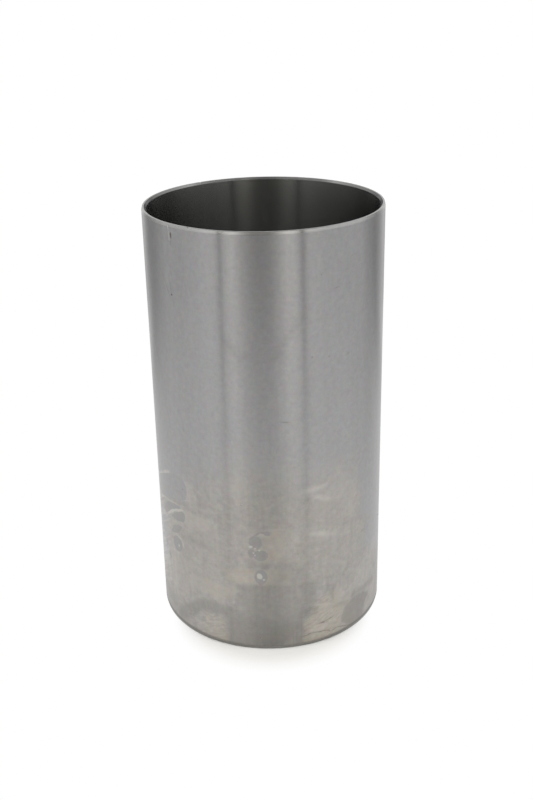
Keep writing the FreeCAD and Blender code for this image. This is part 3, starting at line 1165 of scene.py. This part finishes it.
def tent_cloth():
    """Glowing cloth whose brightness goes by azimuth and height."""
    cloth = Finish("tent_cloth")
    x, y, height = cloth.parts(cloth.own_place())
    turn = x.math("ARCTAN2", x, -y) / (2 * math.pi) + 0.5
    aside = turn.math("ABSOLUTE", turn - 0.5)
    left = cloth.node("ShaderNodeValToRGB", {"stops": cloth_stops(reversed(LEFT_CLOTH))}, input_0=turn)
    right = cloth.node("ShaderNodeValToRGB", {"stops": cloth_stops(RIGHT_CLOTH)}, input_0=turn)
    level = cloth.node("ShaderNodeMix", input_0=turn > 0.5, input_2=left, input_3=right)
    upper = cloth.ramp(height, *CLOTH_STEP)
    behind = (y > UPPER_BACK_START) * UPPER_BACK_LEVEL
    above_lens = (1 - cloth.ramp(aside, *ABOVE_LENS_EDGE)) * ABOVE_LENS_LEVEL
    level = level * (1 - upper) + (level * UPPER_CLOTH_GAIN | behind | above_lens) * upper
    folds = cloth.node(
        "ShaderNodeTexNoise", {"noise_dimensions": "1D"},
        W=turn, Scale=FOLDS_ROUND, Detail=3.0, Roughness=0.7,
    )
    level = level * ((folds - 0.5) * FOLD_DEPTH + 1)
    tint = cloth.blend(cloth.ramp(aside, 0, WARM_HALF_WIDTH), WARM_FRONT, (1, 1, 1, 1))
    glow = cloth.node("ShaderNodeEmission", Color=tint, Strength=level)
    cloth.node("ShaderNodeOutputMaterial", Surface=glow)
    return cloth.material


def cloth_stops(cloth):
    """Azimuths from -180 to 180 degrees as places from 0 to 1 on a colour ramp, with their brightness."""
    return [(azimuth / 360 + 0.5, level) for azimuth, level in cloth]


def show_only_in_reflections(thing):
    """Hides a thing from everything but glossy rays."""
    thing.visible_camera = False
    thing.visible_diffuse = False
    thing.visible_transmission = False
    thing.visible_volume_scatter = False
    thing.visible_shadow = False


# Lamps: name, place and width in metres, and power in watts
LAMPS = [
    ("top_lamp", (0.0, -0.2, 1.3), 1.2, 9.0),
    ("left_lamp", (-1.3, -0.6, 0.9), 1.0, 7.0),
    ("right_lamp", (1.3, -0.6, 0.9), 1.0, 7.0),
]


def hang_lamps():
    """A wide soft lamp over the tent and one on each side, none of them seen."""
    for name, place, size, power in LAMPS:
        lamp = bpy.data.lights.new(name, "AREA")
        lamp.size = size
        lamp.energy = power
        lamp_object = bpy.data.objects.new(name, lamp)
        bpy.context.scene.collection.objects.link(lamp_object)
        lamp_object.location = place
        lamp_object.rotation_euler = (-Vector(place)).to_track_quat("-Z", "Y").to_euler()
        lamp_object.visible_glossy = False
        lamp_object.visible_camera = False


# How strongly the white surround lights things; it is seen at 1
WORLD_LIGHT = 0.5


def light_world(scene):
    """White where it is seen, softer where it only gives light."""
    world = bpy.data.worlds.new("white_surround")
    scene.world = world
    world.use_nodes = True
    tree = world.node_tree
    tree.nodes.clear()
    path = tree.nodes.new("ShaderNodeLightPath")
    strength = any_of(path, SEEN_RAYS) * (1 - WORLD_LIGHT) + WORLD_LIGHT
    background = tree.nodes.new("ShaderNodeBackground")
    background.inputs["Color"].default_value = (1, 1, 1, 1)
    feed(background.inputs["Strength"], strength)
    output = tree.nodes.new("ShaderNodeOutputWorld")
    tree.links.new(background.outputs[0], output.inputs["Surface"])


# The width of the camera's frame in millimetres, and how near to the lens things are still seen, in metres
FRAME_WIDTH = 36
NEAREST_SEEN = 0.01


def place_camera(scene, studio):
    """The camera at the photograph's distance, height and tilt."""
    lens = bpy.data.cameras.new("camera")
    lens.lens = studio.camera_lens
    lens.sensor_width = FRAME_WIDTH
    lens.clip_start = NEAREST_SEEN
    camera = bpy.data.objects.new("camera", lens)
    scene.collection.objects.link(camera)
    turn = Matrix.Rotation(studio.camera_turn, 4, "Z")
    tilt = Matrix.Rotation(math.pi / 2 - studio.camera_pitch, 4, "X")
    lean = Matrix.Rotation(-studio.camera_roll, 4, "Z")
    camera.location = (0, -studio.camera_distance, studio.camera_height)
    camera.rotation_euler = (turn @ tilt @ lean).to_euler()
    scene.camera = camera


class VIEW3D_PT_liner(bpy.types.Panel):
    """Sizes, finish and studio of the liner"""

    bl_label = "Cylinder liner"
    bl_idname = "VIEW3D_PT_liner"
    bl_space_type = "VIEW_3D"
    bl_region_type = "UI"
    bl_category = "Liner"

    def draw(self, context):
        layout = self.layout
        for group, operator in (
            (context.scene.liner_sizes, LINER_OT_turn.bl_idname),
            (context.scene.liner_finish, None),
            (context.scene.liner_studio, LINER_OT_set_studio.bl_idname),
        ):
            box = layout.box()
            for name in group.__annotations__:
                box.prop(group, name)
            if operator:
                box.operator(operator)


CLASSES = (LinerSizes, LinerFinish, LinerStudio, LINER_OT_turn, LINER_OT_set_studio, VIEW3D_PT_liner)


def register():
    for cls in CLASSES:
        bpy.utils.register_class(cls)
    bpy.types.Scene.liner_sizes = PointerProperty(type=LinerSizes)
    bpy.types.Scene.liner_finish = PointerProperty(type=LinerFinish)
    bpy.types.Scene.liner_studio = PointerProperty(type=LinerStudio)


def unregister():
    del bpy.types.Scene.liner_studio
    del bpy.types.Scene.liner_finish
    del bpy.types.Scene.liner_sizes
    for cls in reversed(CLASSES):
        bpy.utils.unregister_class(cls)


def main():
    register()
    bpy.ops.liner.turn()
    bpy.ops.liner.set_studio()


if __name__ == "__main__":
    main()
